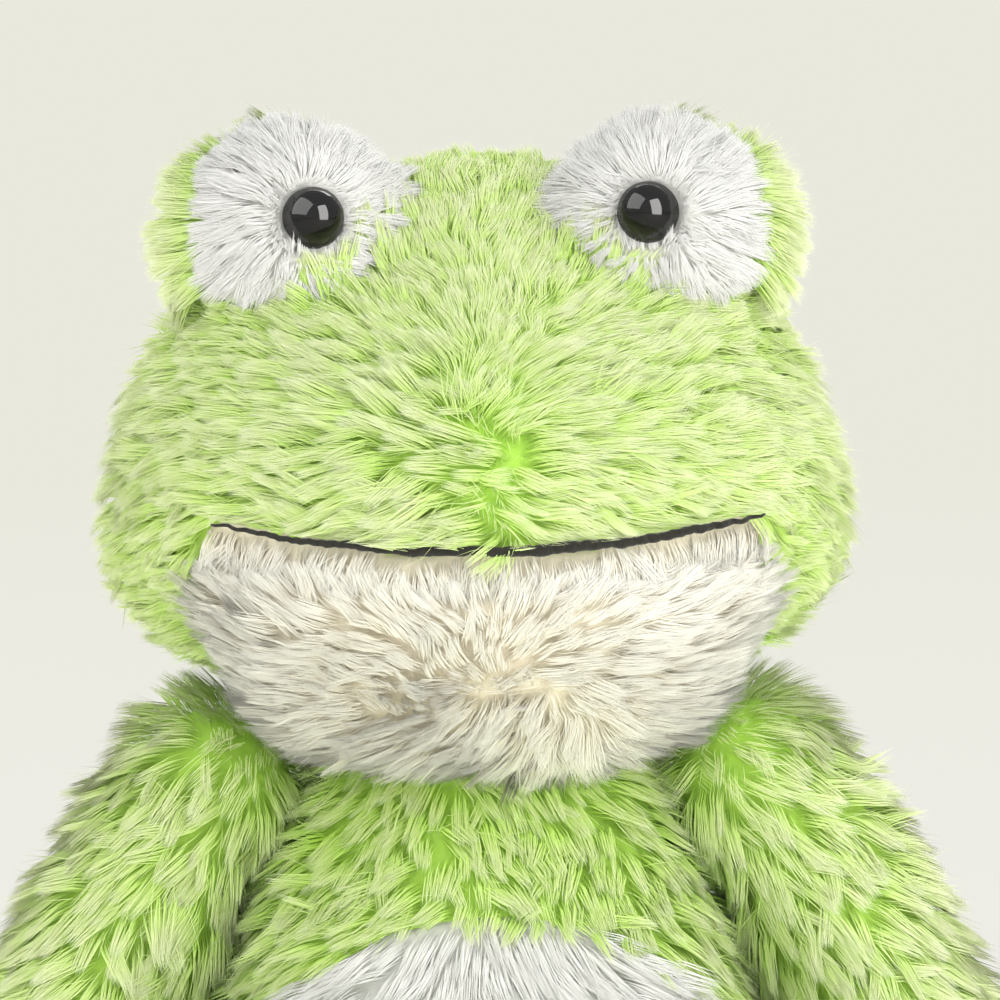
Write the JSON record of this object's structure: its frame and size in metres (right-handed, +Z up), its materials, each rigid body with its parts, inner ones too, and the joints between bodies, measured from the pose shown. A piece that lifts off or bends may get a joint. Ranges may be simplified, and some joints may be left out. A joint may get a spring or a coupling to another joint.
{
  "type": "plush frog",
  "caption": "Seated long-pile plush frog with a wide corded mouth, cream chin, white eye patches and belly, glossy black eyes and sewn-on limbs that flop.",
  "frame": {"origin": "middle of the flat seat, on the surface that the frog sits on", "axes": "+Z up through the head, -Y the way the frog faces, +X its own left side"},
  "size_m": [0.2734, 0.2269, 0.299],
  "materials": {
    "green_fur": "long soft pile",
    "cream_fur": "long soft pile",
    "white_fur": "long soft pile",
    "black_felt": "felted cord",
    "eye_plastic": "polished",
    "washer_nylon": "moulded",
    "fibre": "loose fibre",
    "pouch_cotton": "plain weave"
  },
  "bodies": {
    "trunk": {"trunk_fur": "green_fur", "belly_panel": "white_fur", "trunk_stuffing": "fibre", "pellet_pouch": "pouch_cotton"},
    "head": {"crown_fur": "green_fur", "chin_panel": "cream_fur", "mouth_cord": "black_felt", "head_stuffing": "fibre", "left_eye_mound": "green_fur", "right_eye_mound": "green_fur", "left_eye_patch": "white_fur", "right_eye_patch": "white_fur", "left_mound_stuffing": "fibre", "right_mound_stuffing": "fibre", "left_eye": "eye_plastic", "right_eye": "eye_plastic", "left_eye_washer": "washer_nylon", "right_eye_washer": "washer_nylon"},
    "left_arm": {"left_arm_fur": "green_fur", "left_arm_stuffing": "fibre"},
    "right_arm": {"right_arm_fur": "green_fur", "right_arm_stuffing": "fibre"},
    "left_leg": {"left_leg_fur": "green_fur", "left_leg_stuffing": "fibre"},
    "right_leg": {"right_leg_fur": "green_fur", "right_leg_stuffing": "fibre"}
  },
  "joints": [
    {"name": "head_turn", "type": "hinge", "parent": "trunk", "child": "head", "pos_m": [0, 0, 0.148], "axis": [0, 0, 1], "range_deg": [-15, 15]},
    {"name": "left_arm_swing", "type": "hinge", "parent": "trunk", "child": "left_arm", "pos_m": [0.06608, 0, 0.13323], "axis": [-1, 0, 0], "range_deg": [-30, 65]},
    {"name": "right_arm_swing", "type": "hinge", "parent": "trunk", "child": "right_arm", "pos_m": [-0.06608, 0, 0.13323], "axis": [-1, 0, 0], "range_deg": [-30, 65]},
    {"name": "left_leg_lift", "type": "hinge", "parent": "trunk", "child": "left_leg", "pos_m": [0.05242, -0.05428, 0.0245], "axis": [-0.9272, -0.3746, 0], "range_deg": [0, 25]},
    {"name": "right_leg_lift", "type": "hinge", "parent": "trunk", "child": "right_leg", "pos_m": [-0.05242, -0.05428, 0.0245], "axis": [-0.9272, 0.3746, 0], "range_deg": [0, 25]}
  ]
}
